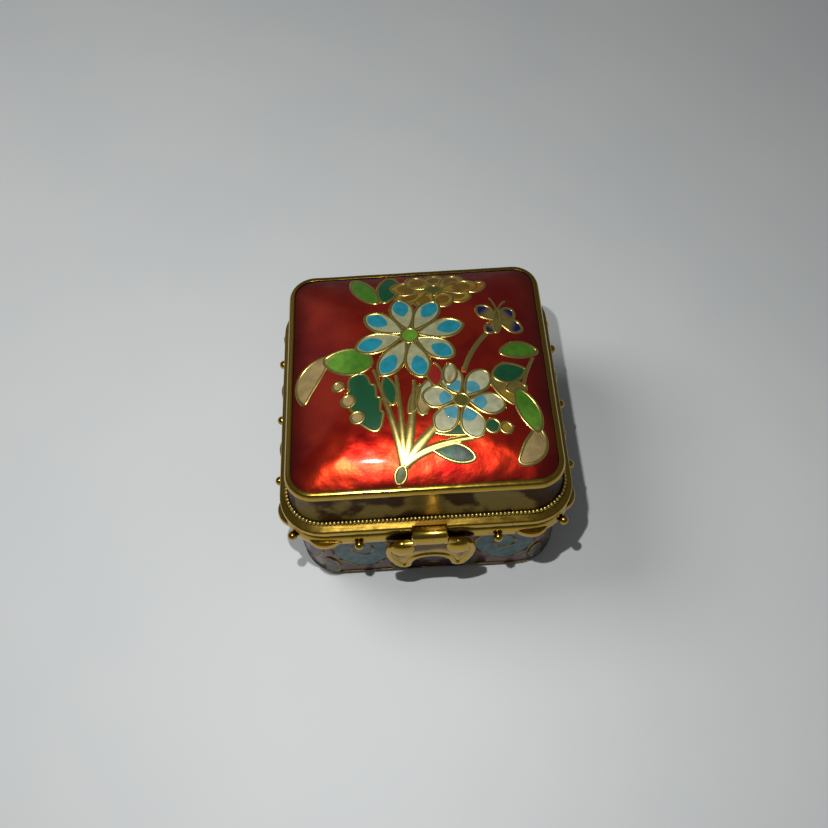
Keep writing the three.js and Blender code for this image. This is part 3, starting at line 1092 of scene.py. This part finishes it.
def kept_on_lid(spots):
    """Pushes plan points that would run off the glass back to its edge."""
    limit = plaque_half - 0.25
    return np.clip(spots, -limit, limit)


spray = Sheet(lambda spots, lift: on_dome(kept_on_lid(spots), lift))


def flower(
    sheet, centre, count, inner, reach, width, near, far, turn=0.0, squash=1.0, oval=(0.5, 0.95), eye="apple"
):
    """A ring of petals round an eye, each with an oval of a second glass in it."""
    centre = np.array(centre, float)
    sheet.dot(centre, inner * 1.02, eye)
    for k in range(count):
        angle = math.radians(turn) + 2 * math.pi * k / count
        way = np.array((math.cos(angle), math.sin(angle) * squash)) * (1 + 0.05 * math.sin(5 * k + 1))
        root, tip = centre + way * inner * 0.9, centre + way * reach
        start, end = (centre + way * reach * share for share in oval)
        sheet.cell(root, tip, width, near, bend=0.03 * math.sin(3 * k), belly=1.35, blunt=0.62)
        sheet.spot(start, end, width * 0.68, far)


# Butterfly: a body, four wings and two feelers.
spray.cell((11.9, 8.9), (11.4, 4.4), 1.1, "olive", "khaki", bend=0.05)
for tip, width in (((9.0, 9.2), 2.3), ((14.2, 8.9), 2.0), ((15.3, 5.6), 2.3), ((10.0, 4.4), 1.6)):
    spray.cell((11.8, 6.6), tip, width, "khaki", "navy", belly=1.6, blunt=0.7, change=0.62)
spray.wire(curve((11.8, 8.6), (11.6, 10.0), (10.9, 10.9), 8), 0.3)
spray.wire(curve((12.0, 8.6), (12.4, 9.9), (13.2, 10.4), 8), 0.3)

# Daisy in the middle.
flower(spray, (-1.0, 4.3), 8, 1.25, 7.6, 3.3, "cream", "turquoise", turn=12)

# Red bud and its cream sheath.
spray.cell((2.3, -4.6), (2.1, -0.7), 2.1, "bud red", blunt=0.8)
spray.cell((3.9, -4.4), (4.3, -0.9), 1.9, "peach", "cream", bend=-0.1)

# White flower to the right of the stems.
flower(spray, (5.6, -6.9), 6, 1.0, 5.7, 3.2, "shell", "pale blue", turn=50, oval=(0.26, 0.58), eye="olive")
spray.deeper()

# Leaves on the left: a cream-tipped one that curls over, and a toothed dark one below.
spray.cell((-6.4, 0.1), (-13.4, 1.7), 4.3, "leaf", "apple", bend=0.06, belly=0.85)
spray.cell((-11.6, 2.0), (-16.2, -5.0), 3.3, "peach", bend=-0.42, belly=1.1, blunt=0.75)
for spot, radius in (((-11.3, -3.3), 0.75), ((-9.9, -5.9), 0.95), ((-8.7, -8.6), 0.9)):
    spray.dot(spot, radius, "peach")
spray.cell((-8.7, -1.6), (-6.0, -10.8), 4.6, "forest", bend=-0.06, belly=0.9, blunt=0.45, teeth=4)
spray.cell((-4.7, -2.4), (-3.7, -7.2), 1.9, "forest", blunt=0.8)

# Stems that fan up out of one foot, broad below and narrow above.
foot_of_stems = (-2.6, -15.7)
for bend, end, widths in (
    ((-3.4, -10.5), (-6.3, -1.2), (1.5, 0.85, 0.5)),
    ((-2.6, -9.5), (-3.2, -2.4), (1.6, 0.8, 0.5)),
    ((-1.2, -10.5), (-0.7, -3.4), (1.8, 1.1, 0.5)),
    ((-0.8, -13.0), (2.6, -9.9), (1.5, 1.5, 1.0)),
    ((-0.2, -13.6), (5.0, -12.9), (1.1, 0.9, 0.8)),
    ((0.0, -12.6), (8.0, -12.4), (1.0, 0.9, 0.8)),
):
    spray.wire(np.vstack((foot_of_stems, curve(foot_of_stems, bend, end, 14))), widths)
spray.cell((0.1, -8.9), (1.4, -3.6), 2.2, "peach", "shell", bend=0.05)
spray.cell((-2.8, -15.6), (-3.6, -17.9), 1.5, "olive")

# Leaves low on the right.
spray.cell((1.6, -11.4), (7.6, -11.7), 1.5, "forest", bend=0.1)
spray.cell((1.0, -13.5), (6.8, -15.2), 2.3, "forest", "sage", bend=0.06, belly=1.2)
spray.dot((9.5, -10.9), 1.0, "forest")
spray.dot((11.3, -11.2), 0.8, "honey")
spray.cell((13.3, -5.0), (15.6, -11.6), 3.1, "leaf", "apple", bend=0.08)
spray.cell((15.6, -10.6), (12.6, -16.0), 2.9, "peach", bend=0.34, belly=1.1)

# Leaves high on the right, the line they hang from, and khaki sepals by the white flower.
spray.cell((11.6, 0.9), (17.2, 2.2), 2.6, "leaf", bend=0.1)
spray.cell((15.0, -1.4), (10.2, -3.0), 3.2, "forest", bend=0.05, belly=1.25)
spray.cell((11.8, -5.2), (14.8, -4.4), 1.9, "khaki")
spray.cell((9.8, -3.2), (13.0, -7.6), 2.2, "khaki", "honey", bend=0.1)
spray.cell((-1.6, -8.6), (0.0, -4.2), 1.5, "honey", "khaki", bend=-0.08)
spray.wire(curve((10.3, 4.6), (7.4, 1.6), (6.2, -2.4), 14), 0.75)
spray.wire(curve((16.6, 1.4), (14.6, -2.4), (14.2, -5.4), 14), 0.5)
spray.deeper()

# Amber flower and two leaves at the back, partly behind the daisy.
flattened = {"turn": 8, "squash": 0.66, "oval": (0.4, 0.85), "eye": "olive"}
flower(spray, (2.9, 13.4), 9, 1.2, 6.3, 3.1, "honey", "amber", **flattened)
spray.cell((8.0, 12.6), (10.4, 14.6), 2.2, "orange")
spray.cell((-5.4, 11.0), (-9.0, 17.4), 2.9, "leaf", bend=0.1)
spray.cell((-4.6, 11.0), (-3.6, 17.4), 3.2, "forest", bend=-0.08)

piece("spray_cells", spray.glass, cells_glass, "lid", crease=70)
piece("spray_wires", spray.wires, wire_gold, "lid", crease=70)

# %% [markdown]
# ## The cells round the bowl
# The bowl's outside is a row of hanging lappets, blue and rose by turns, on a dark maroon ground with
# small leaves between their tips. The sheet is the wall unrolled: distance round it and height.

# %% Lappets round the bowl
wall_corner_round = 6.0
lappets = 14
first_lappet = 0.7
core_level = 0.105
lappet_level = 0.075


def on_wall(spots, lift):
    """Lays points of (distance round the wall, height) on the outside of the bowl."""
    height = np.clip(spots[..., 1], 0.7, bowl_top + 0.2)
    half = np.interp(height, (0.4, bowl_top / 2, bowl_top), (base_half, base_half + 0.1, bowl_half))
    x, y = around(spots[..., 0], half, wall_corner_round, lift)
    return np.stack((x, y, height), axis=-1)


frieze = Sheet(on_wall)
girth = 4 * (2 * (bowl_half - wall_corner_round) + wall_corner_round * math.pi / 2)
lappet_pitch = girth / lappets
for k in range(-lappets // 2, lappets // 2):
    middle = first_lappet + k * lappet_pitch
    # The wall glasses here are darker copies of blue, pale and pink: painted shade for the bowl's shaded
    # wall.
    outer, inner = ("teal", "wall blue") if k % 2 else ("rose", "rose")
    core = "wall pale" if k % 2 else "wall pink"
    frieze.level = core_level
    frieze.cell((middle, 12.4), (middle, 7.4), 3.2, core, outer, belly=1.2, blunt=0.7)
    frieze.level = lappet_level
    frieze.cell((middle, 14.2), (middle, 3.0), lappet_pitch * 0.84, outer, inner, belly=0.9, blunt=0.62)
for k in range(-lappets // 2, lappets // 2):
    between = first_lappet + (k + 0.5) * lappet_pitch
    frieze.cell((between, 0.9), (between, 6.4), 2.6, "sage", "rose", belly=0.8)
for height in (0.95, 13.0):
    walked = np.linspace(-girth / 2 - 0.2, girth / 2 + 0.2, 700)
    frieze.wire(np.column_stack((walked, np.full(700, height))), 0.26)
piece("bowl_cells", frieze.glass, wall_glass, "bowl_body", crease=70)
piece("bowl_wires", frieze.wires, wall_wire, "bowl_body", crease=70)

# %% [markdown]
# ## Painted shade in the hollows of the brass
# Creases, the space under the clasp and the gaps between beads lie in shade, and the brass finish paints
# that shade into its colour. To find such places we send short rays from every corner of a brass mesh,
# from all sides. The share that hits something within a millimetre and a half is noted, and the brass finish
# reads it.

# %% Hollows of the brass
reach = 1.4 * MM
rays = []
for i in range(28):
    rise = 1 - (2 * i + 1) / 28
    angle = i * math.pi * (3 - math.sqrt(5))
    level_share = math.sqrt(1 - rise * rise)
    rays.append(Vector((level_share * math.cos(angle), level_share * math.sin(angle), rise)))

pieces = [o for o in bpy.data.objects if o.type == "MESH" and o.name not in frame["nodes"]]
corners, sides = [], []
for made in pieces:
    base = len(corners)
    corners += [v.co.copy() for v in made.data.vertices]
    sides += [[base + i for i in face.vertices] for face in made.data.polygons]
cloth = BVHTree.FromPolygons(corners, sides)
for made in pieces:
    if made.data.materials[0] is not rim_gold and made.name != "milled_wire":
        continue
    hollow = []
    for v in made.data.vertices:
        start = v.co + v.normal * (0.06 * MM)
        open_rays = [ray for ray in rays if ray.dot(v.normal) > 0.1]
        hits = sum(cloth.ray_cast(start, ray, reach)[0] is not None for ray in open_rays)
        hollow.append(hits / max(len(open_rays), 1))
    made.data.attributes.new("hollow", "FLOAT", "POINT").data.foreach_set("value", hollow)
    print(made.name, "is", round(100 * sum(hollow) / len(hollow)), "% hollow")

# %% [markdown]
# ## The table
# The box stands on a plain pale table top. It only has to take the shadow and to be mirrored in the
# brass, so it is one wide sheet with a faint mottling.

# %% Table top
material, start, shader = new_finish("pale_table", Roughness=0.55)
mottle = grain(start, 40.0, 4)
mottle.between(0.2, 0.8).mixed(rgb(0.66, 0.68, 0.68), rgb(0.70, 0.715, 0.71)).into(shader, "Base Color")
dented(start, shader, grain(start, 0.8, 2), 0.1, 0.02)
table_half = 900
work = bmesh.new()
bmesh.ops.create_grid(work, x_segments=8, y_segments=8, size=table_half * MM)
table_mesh = bpy.data.meshes.new("table_top")
work.to_mesh(table_mesh)
work.free()
table_mesh.materials.append(material)
table_top = bpy.data.objects.new("table_top", table_mesh)
bpy.context.scene.collection.objects.link(table_top)
